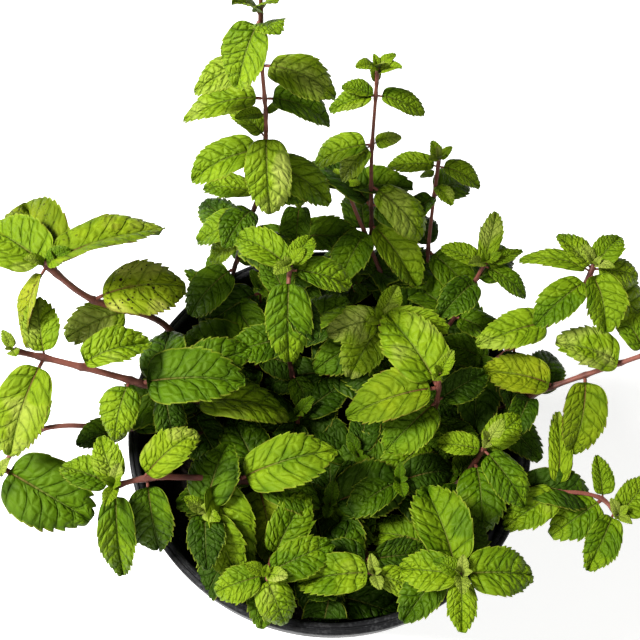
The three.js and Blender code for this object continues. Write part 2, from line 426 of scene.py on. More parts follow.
def rings_of(node):
    """The rings of points along a stem or leaf of the frame, from one end point to the other."""
    bm = bmesh.new()
    bm.from_mesh(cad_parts[node].data)
    bmesh.ops.remove_doubles(bm, verts=bm.verts[:], dist=1e-5)
    ends = [vert for vert in bm.verts if len(vert.link_edges) == frame_sides]
    layer = [min(ends, key=lambda vert: vert.co.z)]
    seen, rings = set(layer), []
    while layer:
        rings.append([vert.co.copy() for vert in layer])
        around = {edge.other_vert(vert) for vert in layer for edge in vert.link_edges} - seen
        layer = sorted(around, key=lambda vert: vert.index)
        seen |= around
    bm.free()
    return rings


def middle(points):
    return sum(points, Vector()) / len(points)


class MiddleLine:
    """A smooth line up the middle of a stem, with its radii, read by the share of its length."""

    def __init__(self, points, radii):
        self.points = points
        self.radii = radii
        self.length = sum((b - a).length for a, b in zip(points, points[1:]))

    def at(self, share):
        """The point, the direction and the radius at a share of the length."""
        last = len(self.points) - 1
        place = min(max(share, 0), 1) * last
        i = min(int(place), last - 1)
        t = place - i
        a, b, c, d = (self.points[min(max(k, 0), last)] for k in range(i - 1, i + 3))
        point = 0.5 * (2 * b + (c - a) * t + (2 * a - 5 * b + 4 * c - d) * t * t
                       + (3 * b - a - 3 * c + d) * t ** 3)
        along = 0.5 * ((c - a) + 2 * (2 * a - 5 * b + 4 * c - d) * t
                       + 3 * (3 * b - a - 3 * c + d) * t * t)
        radius = self.radii[i] + (self.radii[i + 1] - self.radii[i]) * t
        return point, along.normalized(), radius

    def nearest(self, point):
        shares = [i / 400 for i in range(401)]
        return min(shares, key=lambda share: (self.at(share)[0] - point).length)


def frame_line(node):
    """The middle line of a stem of the frame, from the centres and sizes of its rings."""
    rings = rings_of(node)[1:-1]
    points = [middle(ring) for ring in rings]
    radii = [sum((p - m).length for p in ring) / len(ring) for ring, m in zip(rings, points)]
    return MiddleLine(points, radii)


def rolled_tube(sides, steps):
    """A unit tube that is pointed at both ends, with how far round and along each vertex is."""
    bm = bmesh.new()
    turn = bm.verts.layers.float.new("turn")
    climb = bm.verts.layers.float.new("climb")
    bmesh.ops.create_grid(bm, x_segments=sides, y_segments=steps, size=1)
    for vert in bm.verts:
        vert[turn] = (vert.co.x + 1) / 2
        vert[climb] = (vert.co.y + 1) / 2
        closed = abs(vert.co.y) > 1 - 0.5 / steps
        angle = 2 * math.pi * vert[turn]
        radius = 0 if closed else 1
        vert.co = (radius * math.cos(angle), radius * math.sin(angle), vert[climb])
    bmesh.ops.remove_doubles(bm, verts=bm.verts[:], dist=1e-6)
    bmesh.ops.recalc_face_normals(bm, faces=bm.faces[:])
    for face in bm.faces:
        face.smooth = True
    return mesh_from(bm, "tube")


def numbers(mesh, name, width=1):
    """An attribute of the mesh's vertices as an array."""
    field = "vector" if width == 3 else "value"
    values = np.zeros(len(mesh.vertices) * width, np.float32)
    mesh.attributes[name].data.foreach_get(field, values)
    return values.reshape(-1, width).astype(float) if width > 1 else values.astype(float)


def store(mesh, name, values, kind="FLOAT"):
    made = mesh.attributes.get(name) or mesh.attributes.new(name, kind, "POINT")
    field = "vector" if kind == "FLOAT_VECTOR" else "value"
    made.data.foreach_set(field, np.asarray(values, np.float32).ravel())


lines = {name.removeprefix("stem_"): frame_line(name) for name in stem_names}


def stem_of(leaf):
    """The stem that a frame leaf is named after, such as tall_back_left."""
    return leaf.removeprefix("leaf_").rpartition("_")[0]


def square(angle):
    """How far out the side of a round-cornered square is, next to a unit circle."""
    sides = np.abs(np.cos(angle)) ** squareness + np.abs(np.sin(angle)) ** squareness
    return sides ** (-1 / squareness)


def stem_mesh(line, knots, slim=usual_slimness, end=1.0):
    """A stem up its middle line as far as the share end, with knots at shares of the line."""
    steps = max(12, round(end * line.length / stem_step))
    mesh = rolled_tube(stem_sides, steps)
    turn, climb = numbers(mesh, "turn"), numbers(mesh, "climb")
    side = Vector((1, 0, 0))
    frames = []
    for i in range(steps + 1):
        share = end * i / steps
        point, along, radius = line.at(share)
        side = (side - along * side.dot(along)).normalized()
        swell = sum(math.exp(-((share - knot) * line.length / knot_length) ** 2) for knot in knots)
        wander = 1 + 0.05 * noise.noise(Vector((0, 0, 60 * i * stem_step)) + 40 * line.points[0])
        radius *= slim * (1 + knot_swell * min(swell, 1)) * wander * (0 < i < steps)
        frames.append([*point, *side, *along.cross(side), radius, min(swell, 1)])
    frames = np.array(frames)[np.rint(climb * steps).astype(int)]
    point, side, over, radius, swell = np.split(frames, (3, 6, 9, 10), axis=1)
    angle = 2 * math.pi * turn
    reach = radius * square(angle)[:, None]
    co = (point + reach * np.cos(angle)[:, None] * side + reach * np.sin(angle)[:, None] * over)
    mesh.vertices.foreach_set("co", co.astype(np.float32).ravel())
    store(mesh, "knot", swell)
    store(mesh, "ridge", 0.5 - 0.5 * np.cos(4 * angle))
    store(mesh, "age", 1 - climb)
    mesh.update()
    return mesh


def attribute(tree, name):
    return add(tree, "ShaderNodeAttribute", attribute_name=name).outputs["Fac"]


def stem_skin():
    material, tree, shader = new_material("mint stem")
    place = object_place(tree)
    streaks = cloud(tree, 260.0, 3.0, place)
    patches = cloud(tree, 45.0, 3.0, place)
    age, knot, ridge = (attribute(tree, name) for name in ("age", "knot", "ridge"))
    young = mix(tree, patches, (0.28, 0.088, 0.060, 1), (0.115, 0.033, 0.022, 1))
    old = mix(tree, patches, (0.012, 0.004, 0.003, 1), (0.045, 0.013, 0.009, 1))
    uneven = times(tree, maths(tree, "SUBTRACT", patches, 0.5), 1.3)
    depth = maths(tree, "ADD", age, uneven)
    colour = mix(tree, remap(tree, depth, 0.15, 0.75), young, old)
    colour = mix(tree, times(tree, knot, 0.55), colour, (0.035, 0.011, 0.008, 1))
    pale = times(tree, ridge, remap(tree, streaks, 0.45, 0.7, 0.0, 0.4))
    colour = mix(tree, pale, colour, (0.34, 0.135, 0.095, 1))
    feed(tree, shader, {
        "Base Color": colour,
        "Roughness": remap(tree, streaks, 0.3, 0.7, 0.42, 0.62),
        "Normal": bump(tree, cloud(tree, 1600.0, 3.0, place), 0.0003),
        "Specular IOR Level": 0.3,
    })
    return material


# ---- The leaves ----
# A mint leaf is a soft toothed blade on a short stalk.  It is puffed up between sunken side veins,
# which gives it a quilted look, and its paler underside carries the midrib and veins as ridges.
stalk_share = 0.10  # of a leaf's length, as in the frame
side_veins = 6
blade_thickness = 0.0075  # over the leaf's length
quilt_depth = 0.024  # over the leaf's length
tooth_depth = 0.085  # over the blade's half width
full_grown = 0.026  # the length from which a leaf is fully quilted
rib_depth = 0.014  # of the midrib on the underside, over the leaf's length
overhang = 0.008  # how far a leaf may reach past the frame's box
clearance = 0.001  # between a leaf and the compost, the floor or the lip's sides
wall_clearance = 0.0025  # between a leaf and the inside of the wall
lip_clearance = 0.0012  # between a leaf and the top of the lip
lip_crossing = 0.005  # how high over the lip a leaf's tip is held
stalk_size = (0.042, 0.018)  # its half breadth over the leaf's width, and half depth


def smoothstep(low, high, value):
    t = min(max((value - low) / (high - low), 0), 1)
    return t * t * (3 - 2 * t)


def tooth(turn, peak=0.78):
    """A tooth's outline that rises in a curve and drops back behind its point."""
    turn %= 1
    return (turn / peak) ** 0.7 if turn < peak else (1 - turn) / (1 - peak)


def blade_half(t):
    """Half the blade's width, from 0 at its foot through 1 at its widest to 0 at its tip."""
    return max(0, math.sin(math.pi * min(t, 1) ** 0.46)) ** 0.75


def blade_point(across, g, teeth, bites):
    """Where a point of the unit blade lies, from how far across and along the grid it is.

    The rows of the grid, and so the side veins, lean towards the tip as they run outwards.
    """
    side = 1 if across >= 0 else -1
    s = abs(across) ** 1.2
    half = blade_half(g ** 1.25)
    edge = smoothstep(0.66, 1, s)
    fade = smoothstep(0.08, 0.3, g) * smoothstep(1.0, 0.93, g)
    bite = tooth(g * teeth) * bites[side][min(int(g * teeth), teeth - 1)] * edge * fade
    x = side * s * half * (1 + tooth_depth * (bite - 0.35 * edge * fade)) / 2
    lean = 0.25 * smoothstep(-0.05, 0.4, g) * s * half + 0.35 * bite / teeth
    y = stalk_share + (1 - stalk_share) * min(g ** 1.25 + lean, 1)
    return side * s, x, y


def blade_relief(s, g, vein):
    """How far the quilting lifts a point of the blade, from 0 on the veins to 1."""
    cell = abs(math.sin(math.pi * vein)) ** 0.55
    step = abs(math.sin(math.pi * (3 * abs(s) + 0.37 * int(vein) + 0.2 * (s > 0)))) ** 0.6
    inner = smoothstep(0.0, 0.14, abs(s))
    outer = 1 - 0.6 * smoothstep(0.75, 1, abs(s))
    ends = smoothstep(0, 0.08, g) * smoothstep(1, 0.9, g)
    return cell * (0.55 + 0.45 * step) * inner * outer * ends


def unit_leaf(seed, teeth, columns, rows_per_tooth):
    """A flat leaf of length 1 and width 1, with its relief and its vein pattern as attributes."""
    rng = random.Random(seed)
    bites = {side: [rng.uniform(0.35, 1.35) for _ in range(teeth)] for side in (1, -1)}
    uneven = rng.uniform(-0.09, 0.09)
    bm = bmesh.new()
    layers = {name: bm.verts.layers.float.new(name)
              for name in ("across", "vein", "relief", "stalk")}
    bmesh.ops.create_grid(bm, x_segments=2 * columns, y_segments=teeth * rows_per_tooth, size=1)
    for vert in bm.verts:
        g = (vert.co.y + 1) / 2
        s, x, y = blade_point(vert.co.x, g, teeth, bites)
        wander = Vector((1.1 * s + 3 * math.tanh(12 * s), 2.2 * g, seed))
        vein = side_veins * g + 0.34 * noise.noise(wander)
        vert[layers["across"]] = s
        vert[layers["vein"]] = vein
        vert[layers["relief"]] = blade_relief(s, g, vein)
        vert[layers["stalk"]] = smoothstep(0.8, 0.1, g) * smoothstep(0.14, 0.03, abs(s))
        vert.co = (x * (1 + uneven * math.copysign(1, s)), y, 0)
    bmesh.ops.remove_doubles(bm, verts=bm.verts[:], dist=1e-6)
    bmesh.ops.dissolve_degenerate(bm, edges=bm.edges[:], dist=1e-6)
    bmesh.ops.solidify(bm, geom=bm.faces[:], thickness=blade_thickness)
    bmesh.ops.recalc_face_normals(bm, faces=bm.faces[:])
    top = max(vert.co.z for vert in bm.verts)
    bm.normal_update()
    for face in bm.faces:
        face.smooth = True
        face.material_index = 1 if face.normal.z < -0.5 else 0
    for edge in bm.edges:
        edge.smooth = len(edge.link_faces) == 2 and edge.calc_face_angle(0) < 1
    for vert in bm.verts:
        vert.co.z -= top
        if vert.co.z < -blade_thickness / 2:
            rib = math.exp(-(vert[layers["across"]] / 0.05) ** 2)
            vert.co.z -= rib_depth * rib * (1.1 - vert.co.y)
    tube = rolled_tube(8, 6)
    bm.from_mesh(tube)
    bm.verts.ensure_lookup_table()
    for vert in bm.verts[-len(tube.vertices):]:
        vert.co = (stalk_size[0] * vert.co.x, 1.15 * stalk_share * vert.co.z,
                   stalk_size[1] * vert.co.y - 0.006)
        vert[layers["stalk"]] = 1.0
        for face in vert.link_faces:
            face.material_index = 1
    mesh = mesh_from(bm, "unit leaf")
    co = np.zeros(len(mesh.vertices) * 3, np.float32)
    mesh.vertices.foreach_get("co", co)
    return {"mesh": mesh, "co": co.reshape(-1, 3).astype(float),
            "across": numbers(mesh, "across"), "relief": numbers(mesh, "relief")}


large_leaves = [unit_leaf(seed, teeth, 12, 5) for seed, teeth in enumerate((10, 11, 9, 12, 10))]
small_leaves = [unit_leaf(seed, teeth, 7, 4) for seed, teeth in enumerate((8, 9, 7, 10), 20)]


def keep_clear(co, root):
    """Holds a leaf's points off the compost and the pot, as a leaf that meets them lies.

    A leaf from inside the pot stays inside its wall up to the lip, and others lie over the lip.
    """
    radius = np.hypot(co[:, 0], co[:, 1])
    if math.hypot(root[0], root[1]) < inner_lip and root[2] < rim_top:
        most = inner_lip - wall_clearance + 3 * np.maximum(0, co[:, 2] - rim_top)
        co[:, :2] *= np.minimum(1, most / radius)[:, None]
        radius = np.minimum(radius, most)
    beside = (np.maximum(0, inner_lip - clearance - radius)
              + np.maximum(0, radius - rim_radius - clearance))
    over_lip = np.where(radius < inner_lip - 2 * clearance, 0,
                        rim_top + lip_clearance - 2.5 * beside)
    over_soil = np.where(radius < inner_lip, soil_top + clearance, clearance)
    co[:, 2] = np.maximum(co[:, 2], np.maximum(over_lip, over_soil))
    return co


def leaf_mesh(name, unit, spine, width, habit, rng, relief=1.0, fold=0.22):
    """A leaf bent along its spine, which is (root, crown, tip, sideways).

    Its habit is its (tone, age, blemish), and fold is how far its halves rise from the midrib.
    """
    root, crown, tip, side = (np.array(v) for v in spine)
    length = np.linalg.norm(tip - root)
    y = unit["co"][:, 1]
    across = unit["across"]
    bend, twist = rng.uniform(-0.05, 0.05), rng.uniform(-0.35, 0.35)
    wave, phase = rng.uniform(0.008, 0.022), rng.uniform(0, 6.28)
    cup, droop, taper = rng.uniform(0.02, 0.14), rng.uniform(-0.1, 0.6), rng.uniform(-0.4, 0.05)
    x = unit["co"][:, 0] * width * (1 + taper * (0.5 - y)) + bend * length * y * y
    grown = min(1, length / full_grown)
    z = (unit["co"][:, 2] + quilt_depth * relief * grown * unit["relief"]) * length
    z += fold * width / 2 * (np.sqrt(across ** 2 + 0.01) - 0.1)
    z -= cup * width * np.abs(across) ** 3 + droop * length * np.maximum(0, y - 0.55) ** 2
    z += wave * length * across ** 2 * np.sin(2 * math.pi * 1.6 * y + phase + 1.2 * np.sign(across))
    y = y[:, None]
    middle_line = (1 - y) ** 2 * root + 2 * y * (1 - y) * crown + y ** 2 * tip
    along = (1 - y) * (crown - root) + y * (tip - crown)
    along /= np.linalg.norm(along, axis=1)[:, None]
    normal = np.cross(side, along)
    normal /= np.linalg.norm(normal, axis=1)[:, None]
    sideways = np.cross(along, normal)
    turn = twist * (y - 0.3)
    sideways, normal = (sideways * np.cos(turn) + normal * np.sin(turn),
                        normal * np.cos(turn) - sideways * np.sin(turn))
    co = keep_clear(middle_line + x[:, None] * sideways + z[:, None] * normal, root)
    mesh = unit["mesh"].copy()
    mesh.name = name
    mesh.vertices.foreach_set("co", co.astype(np.float32).ravel())
    store(mesh, "habit", np.tile(habit, (len(co), 1)), "FLOAT_VECTOR")
    store(mesh, "grown", np.full(len(co), grown))
    mesh.update()
    return mesh


def grown_spine(line, share, bearing, rise, length, roll, arch):
    """The spine of a leaf that grows from a stem.

    Its bearing is its heading from above, and its rise its slope, from root to tip, in degrees.
    """
    bearing, rise = math.radians(bearing), math.radians(rise)
    chord = Vector((math.cos(rise) * math.cos(bearing), math.cos(rise) * math.sin(bearing),
                    math.sin(rise)))
    side = Vector((chord.y, -chord.x, 0)).normalized()
    up = side.cross(chord)
    point, along, radius = line.at(share)
    away = (chord - along * chord.dot(along)).normalized()
    root = point + 0.6 * radius * away
    while any(not low - overhang <= place <= high + overhang
              for low, high, place in zip(*cad_box, root + length * chord)):
        length *= 0.93
    tip = root + length * chord
    if root.z > rim_top and root.xy.length < inner_lip < tip.xy.length:
        tip.z = max(tip.z, rim_top + lip_crossing)
    crown = root.lerp(tip, 0.4) + 2 * arch * length * up
    side = Quaternion(chord, math.radians(roll)) @ side
    return root, crown, tip, side


def frame_spine(node):
    """The spine and width of a leaf of the frame, and its share of the stem's length."""
    line = lines[stem_of(node)]
    rings = rings_of(node)
    gaps = [(line.at(line.nearest(end[0]))[0] - end[0]).length for end in (rings[0], rings[-1])]
    if gaps[0] > gaps[1]:
        rings.reverse()
    root, tip = rings[0][0], rings[-1][0]
    share = line.nearest(root)
    edges = [max(((b - a) for a in ring for b in ring), key=lambda v: v.length) for ring in rings]
    width = max(edge.length for edge in edges)
    half_way = rings[len(rings) // 2]
    side = edges[len(rings) // 2].normalized()
    spread = sorted(half_way, key=lambda p: abs((p - middle(half_way)).dot(side)))
    on_midrib = middle(spread[:2])
    crown = (4 * on_midrib - root - tip) / 2
    raised = middle(spread[-2:]) - on_midrib
    if side.cross(tip - root).dot(raised) < 0:
        side = -side
    root = root.lerp(line.at(share)[0], 0.5)
    return (root, crown, tip, side), width, share


def leaf_patterns():
    """Node group: a leaf's midrib, side veins and fine net, and the height that they give it."""
    group = bpy.data.node_groups.new("Leaf veins", "ShaderNodeTree")
    face = group.interface
    for name in ("Across", "Vein"):
        face.new_socket(name, in_out="INPUT", socket_type="NodeSocketFloat")
    for name in ("Midrib", "Veins", "Net", "Height"):
        face.new_socket(name, in_out="OUTPUT", socket_type="NodeSocketFloat")
    given = group.nodes.new("NodeGroupInput")
    across = maths(group, "ABSOLUTE", given.outputs["Across"])
    midrib = remap(group, across, 0.012, 0.05, 1.0, 0.0)
    nearest_vein = maths(group, "PINGPONG", given.outputs["Vein"], 0.5)
    fading = remap(group, across, 0.7, 1.0, 1.0, 0.35)
    veins = times(group, remap(group, nearest_vein, 0.01, 0.07, 1.0, 0.0), fading)
    spread = times(group, across, 3.2)
    stretch = times(group, given.outputs["Vein"], 1.7)
    cells_at = add(group, "ShaderNodeCombineXYZ", {0: spread, 1: stretch}).outputs[0]
    feeds = {"Vector": cells_at, "Scale": 1.0, "Randomness": 0.85}
    cells = add(group, "ShaderNodeTexVoronoi", feeds, voronoi_dimensions="2D",
                feature="DISTANCE_TO_EDGE").outputs["Distance"]
    feeds = {"Vector": object_place(group), "Scale": 1000.0}
    fine = add(group, "ShaderNodeTexVoronoi", feeds, feature="DISTANCE_TO_EDGE").outputs["Distance"]
    net = maths(group, "MAXIMUM", remap(group, cells, 0.0, 0.10, 1.0, 0.0),
                remap(group, fine, 0.0, 0.10, 0.25, 0.0))
    puffed = maths(group, "ADD", remap(group, cells, 0.0, 0.32),
                   remap(group, fine, 0.0, 0.3, 0.0, 0.12))
    sunken = maths(group, "ADD", times(group, veins, 0.8), midrib)
    height = maths(group, "SUBTRACT", puffed, sunken)
    add(group, "NodeGroupOutput", {"Midrib": midrib, "Veins": veins, "Net": net, "Height": height})
    return group


veins_group = leaf_patterns()


def leaf_facts(tree):
    """The vein pattern and the colour habit of a leaf, for its two faces' materials."""
    feeds = {"Across": attribute(tree, "across"), "Vein": attribute(tree, "vein")}
    made = add(tree, "ShaderNodeGroup", feeds, node_tree=veins_group)
    habit = add(tree, "ShaderNodeAttribute", attribute_name="habit").outputs["Vector"]
    tone, age, blemish = add(tree, "ShaderNodeSeparateXYZ", {0: habit}).outputs
    return made.outputs, tone, age, blemish


def spots(tree, place, scale):
    """Round dark marks of many sizes, in about half of the cells of a pattern of this scale."""
    cells = add(tree, "ShaderNodeTexVoronoi", {"Vector": place, "Scale": scale}).outputs
    chance = add(tree, "ShaderNodeSeparateColor", {0: cells["Color"]}).outputs[0]
    size = times(tree, maths(tree, "SUBTRACT", chance, 0.35), 0.45)
    return remap(tree, maths(tree, "SUBTRACT", cells["Distance"], size), 0.0, 0.06, 1.0, 0.0)


def leaf_upper():
    material, tree, shader = new_material("mint leaf, upper face")
    place = object_place(tree)
    pattern, tone, age, blemish = leaf_facts(tree)
    drift = times(tree, maths(tree, "SUBTRACT", cloud(tree, 55.0, 3.0, place), 0.5), 0.5)
    # Sharp-edged patches of paler and deeper green at random: partly the leaf's uneven tone, partly
    # painted patches of light and shadow.
    patches = remap(tree, cloud(tree, 27.0, 2.0, place), 0.45, 0.54, -0.09, 0.09)
    green = ramp(tree, maths(tree, "ADD", tone, maths(tree, "ADD", drift, patches)), [
        (0.0, (0.018, 0.048, 0.0004)), (0.35, (0.068, 0.138, 0.001)),
        (0.7, (0.172, 0.262, 0.005)), (1.0, (0.32, 0.365, 0.070)),
    ])
    green = mix(tree, remap(tree, age, 0.6, 1.0), green, (1.2, 0.93, 0.8, 1), "MULTIPLY")
    # The sunken parts of the quilting are painted darker than its puffed cells: painted shade, like
    # baked occlusion, and partly the paler tissue of the raised cells.
    shaded_hollow = mix(tree, 1.0, green, (0.66, 0.74, 0.52, 1), "MULTIPLY")
    grown = attribute(tree, "grown")
    puffed = remap(tree, attribute(tree, "relief"), 0.05, 0.7)
    colour = mix(tree, puffed, shaded_hollow, green)
    # The veins and the fine net are painted darker than the blade where they sink in: partly their
    # own colour, partly painted shade in their grooves.
    fresh_vein = mix(tree, 1.0, green, (0.32, 0.40, 0.30, 1), "MULTIPLY")
    old_vein = mix(tree, 1.0, green, (0.75, 0.76, 0.50, 1), "MULTIPLY")
    vein_colour_and_shade = mix(tree, age, fresh_vein, old_vein)
    for part, strength in (("Net", 0.22), ("Veins", 0.6)):
        faint = times(tree, pattern[part], strength)
        colour = mix(tree, times(tree, faint, grown), colour, vein_colour_and_shade)
    rib = mix(tree, 0.35, vein_colour_and_shade, (0.24, 0.32, 0.05, 1))
    reddened = times(tree, attribute(tree, "stalk"), remap(tree, age, 0.1, 0.8, 0.3, 1.0))
    rib = mix(tree, reddened, rib, (0.12, 0.030, 0.018, 1))
    colour = mix(tree, times(tree, pattern["Midrib"], 0.85), colour, rib)
    margin = remap(tree, maths(tree, "ABSOLUTE", attribute(tree, "across")), 0.93, 1.0)
    colour = mix(tree, times(tree, margin, 0.45), colour, (0.34, 0.42, 0.03, 1))
    browned = remap(tree, cloud(tree, 130.0, 3.0, place), 0.42, 0.6)
    browned = times(tree, times(tree, margin, browned), age)
    colour = mix(tree, browned, colour, (0.09, 0.030, 0.010, 1))
    blotches = remap(tree, cloud(tree, 75.0, 5.0, place), 0.57, 0.64, 0.0, 0.6)
    colour = mix(tree, times(tree, blotches, blemish), colour, (0.085, 0.060, 0.006, 1))
    crowded = remap(tree, cloud(tree, 60.0, 2.0, place), 0.34, 0.50)
    marks = maths(tree, "MAXIMUM", spots(tree, place, 560.0), spots(tree, place, 320.0))
    marks = times(tree, times(tree, marks, crowded), blemish)
    colour = mix(tree, marks, colour, (0.012, 0.004, 0.002, 1))
    dull = times(tree, cloud(tree, 900.0, 2.0, place), 0.2)
    height = times(tree, pattern["Height"], grown)
    feed(tree, shader, {
        "Base Color": colour,
        "Roughness": maths(tree, "ADD", dull, remap(tree, age, 0.0, 1.0, 0.40, 0.60)),
        "Normal": bump(tree, height, 0.0006, 0.9),
        "Specular IOR Level": 0.2,
        "Specular Tint": (0.9, 1.0, 0.45, 1),
    })
    return material


def leaf_underside():
    material, tree, shader = new_material("mint leaf, underside")
    place = object_place(tree)
    pattern, tone, age, blemish = leaf_facts(tree)
    green = ramp(tree, tone, [(0.0, (0.055, 0.105, 0.018)), (1.0, (0.20, 0.29, 0.045))])
    green = mix(tree, times(tree, cloud(tree, 70.0, 3.0, place), 0.5), green,
                (0.11, 0.18, 0.05, 1))
    ridges = maths(tree, "MAXIMUM", pattern["Veins"], times(tree, pattern["Net"], 0.5))
    colour = mix(tree, times(tree, ridges, 0.6), green, (0.23, 0.31, 0.10, 1))
    colour = mix(tree, pattern["Midrib"], colour, (0.30, 0.36, 0.11, 1))
    colour = mix(tree, attribute(tree, "stalk"), colour, (0.17, 0.050, 0.030, 1))
    marks = times(tree, spots(tree, place, 420.0), blemish)
    colour = mix(tree, marks, colour, (0.030, 0.012, 0.006, 1))
    raised = maths(tree, "SUBTRACT", 0.0, pattern["Height"])
    feed(tree, shader, {
        "Base Color": colour,
        "Roughness": remap(tree, age, 0.0, 1.0, 0.55, 0.7),
        "Normal": bump(tree, raised, 0.0004, 0.8),
        "Specular IOR Level": 0.3,
    })
    return material


upper_material, underside_material = leaf_upper(), leaf_underside()

# The frame's own leaves, each a piece of its own.  A habit is the leaf's tone from deep to bright
# green, its age, and how spotted it is.  The tones listed here are partly each leaf's own green and
# partly painted light and shade: a leaf that lies in shadow is given a paler green, a brightly lit
# one a deeper green.
usual_tone = 0.5
breadth_kept = 0.96  # of a frame leaf's width
habits = {
    "left_upper_1": (0.80, 0.8, 1.0), "left_upper_2": (0.62, 0.75, 0.6),
    "left_upper_3": (0.68, 0.4, 0.1), "left_middle_1": (0.70, 0.7, 0.15),
    "left_middle_2": (0.60, 0.4, 0.0), "left_middle_3": (0.14, 0.4, 0.0),
    "left_lower_1": (0.21, 0.5, 0.05), "left_front_1": (0.40, 0.3, 0.0),
    "left_front_2": (0.48, 0.5, 0.1), "tall_back_left_1": (0.54, 0.2, 0.0),
    "tall_back_left_2": (0.72, 0.2, 0.0), "tall_back_left_3": (0.62, 0.3, 0.0),
    "tall_back_left_4": (0.66, 0.3, 0.0), "tall_back_left_6": (0.75, 0.3, 0.0),
    "tall_back_left_7": (0.68, 0.3, 0.0), "back_centre_3": (0.68, 0.3, 0.0),
    "middle_left_2": (0.44, 0.2, 0.0), "right_upper_1": (0.48, 0.3, 0.0),
    "right_upper_2": (0.68, 0.6, 0.05), "right_middle_1": (0.52, 0.9, 0.15),
    "right_middle_2": (0.60, 0.8, 0.2), "right_lower_1": (0.76, 0.7, 0.1),
    "centre_right_1": (0.64, 0.3, 0.0), "centre_right_2": (0.56, 0.8, 0.0),
    "front_right_2": (0.42, 0.3, 0.0), "front_centre_1": (0.56, 0.3, 0.0),
}
knots = {place: [] for place in lines}
for i, node in enumerate(leaf_names):
    rng = random.Random(node)
    spine, width, share = frame_spine(node)
    knots[stem_of(node)].append(share)
    own_habit = (usual_tone + rng.uniform(-0.12, 0.15), rng.uniform(0.1, 0.5), 0)
    tone, age, blemish = habit = habits.get(node.removeprefix("leaf_"), own_habit)
    mesh = leaf_mesh(node, large_leaves[i % len(large_leaves)], spine, breadth_kept * width,
                     habit, rng, relief=1.3 - age,
                     fold=rng.uniform(0.22, 0.55) * (1 - 0.7 * blemish ** 4))
    leaf = new_piece(node.replace("leaf_", "mint_leaf_"), mesh, upper_material, underside_material)
    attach(leaf, "root")
    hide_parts(node)

# ---- The smaller leaves ----
# The leaves that the frame leaves out: smaller, younger and lower ones, in opposite pairs up each
# stem and as a tuft of two tiny pairs at its tip.  Each is [share of the stem's length, bearing,
# rise, length in millimetres], and may have a roll and a breadth, and a tone, age and blemish.
# Some tones here are painted light too: leaves that lie in shadow, such as those of middle_back,
# are given paler greens.
hand_placed = {
    "tall_back_left": [
        [0.88, -63, 34, 22], [0.90, -140, 49, 19], [0.90, -40, 56, 17], [0.67, -158, 8, 15],
        [0.67, 22, 30, 9], [0.61, 151, 15, 23], [0.37, -166, -22, 32], [0.33, -145, -34, 25],
        [0.46, 180, 0, 30], [0.46, 5, -5, 28], [0.97, 30, 30, 16], [0.97, -150, 30, 16],
    ],
    "back_centre": [
        [0.91, -162, -14, 25], [0.91, 178, 13, 18], [0.95, 119, 63, 11], [0.74, 15, 15, 16],
        [0.74, -141, -47, 27], [0.42, -43, -22, 45], [0.98, -150, 45, 12], [0.98, -10, 35, 14],
    ],
    "back_right": [[0.97, 119, 39, 13], [0.91, 162, -32, 11], [0.86, -54, 0, 16]],
    "middle_left": [[0.98, 149, -6, 36], [0.98, 63, 17, 20]],
    "middle_back": [
        [0.97, -160, -4, 32, -20, 0.7, 0.78, 0.1], [0.9, -118, -18, 34, -20, 0.75, 0.78, 0.1],
        [0.97, -8, 6, 38, 25, 0.5, 0.6], [0.98, 70, 20, 22],
    ],
    "left_upper": [
        [0.84, 125, -13, 62, 0, 0.6, 0.55, 0.9, 0.7], [0.88, 30, 25, 15, 0, 0.8, 0.5, 0.3, 0.1],
        [0.89, -165, 45, 12, 0, 0.6, 0.7, 0.3, 0.1], [0.88, -112, -44, 49, 40, 0.4, 0.6, 0.95, 0.7],
        [0.56, -150, -8, 38, -15, 0.62, 0.76, 0.3, 0.2],
    ],
    "left_middle": [
        [0.78, 31, -6, 36, 0, 0.6, 0.6], [0.90, 104, 14, 32], [0.58, 6, 6, 58, 0, 0.6, 0.2, 0.4],
        [0.62, -100, -22, 34],
    ],
    "left_lower": [[0.80, 98, 16, 29]],
    "left_front": [
        [0.88, 48, 13, 37, 0, 0.6, 0.7, 0.7], [0.87, -76, -39, 41, 0, 0.6, 0.32, 0.4],
        [0.98, 120, 17, 27], [1.0, 163, 4, 30], [0.12, -35, 6, 58, 35, 0.32, 0.3, 0.4],
        [0.62, -62, -22, 50, -20, 0.5, 0.6], [0.4, -68, -20, 44, 10, 0.6, 0.4, 0.9],
    ],
    "right_back": [
        [0.97, 79, 15, 32, 0, 0.42, 0.72], [0.96, 155, 0, 27, 0, 0.48, 0.7],
        [0.97, 26, 4, 24, 0, 0.4, 0.6], [0.97, -24, -17, 32, 0, 0.42, 0.5],
    ],
    "right_upper": [
        [0.95, -68, -24, 31, 0, 0.75, 0.5], [0.97, 141, 9, 26], [0.98, 52, 15, 23],
        [0.97, -1, -8, 29], [0.96, 172, -6, 40, 0, 0.3, 0.5], [0.93, -20, -24, 42],
    ],
    "right_middle": [[0.84, 168, 8, 38, 0, 0.68, 0.78, 0.3], [0.93, 128, 12, 34]],
    "right_lower": [
        [0.69, -146, -13, 36], [0.90, 99, 10, 24], [0.90, -143, -10, 36], [1.0, 50, 4, 29],
    ],
    "right_inner": [[0.82, 45, 8, 29], [0.82, 174, -9, 25]],
    "front_right": [[1.0, 177, -16, 30], [1.0, 159, 15, 16], [1.0, -87, -13, 27]],
    "front_centre": [[0.98, -12, -13, 27]],
    "front_left": [[1.0, -158, -12, 28], [0.98, 29, -3, 38], [1.0, -62, -24, 30]],
    "left_inner": [[1.0, -51, -18, 39]],
}
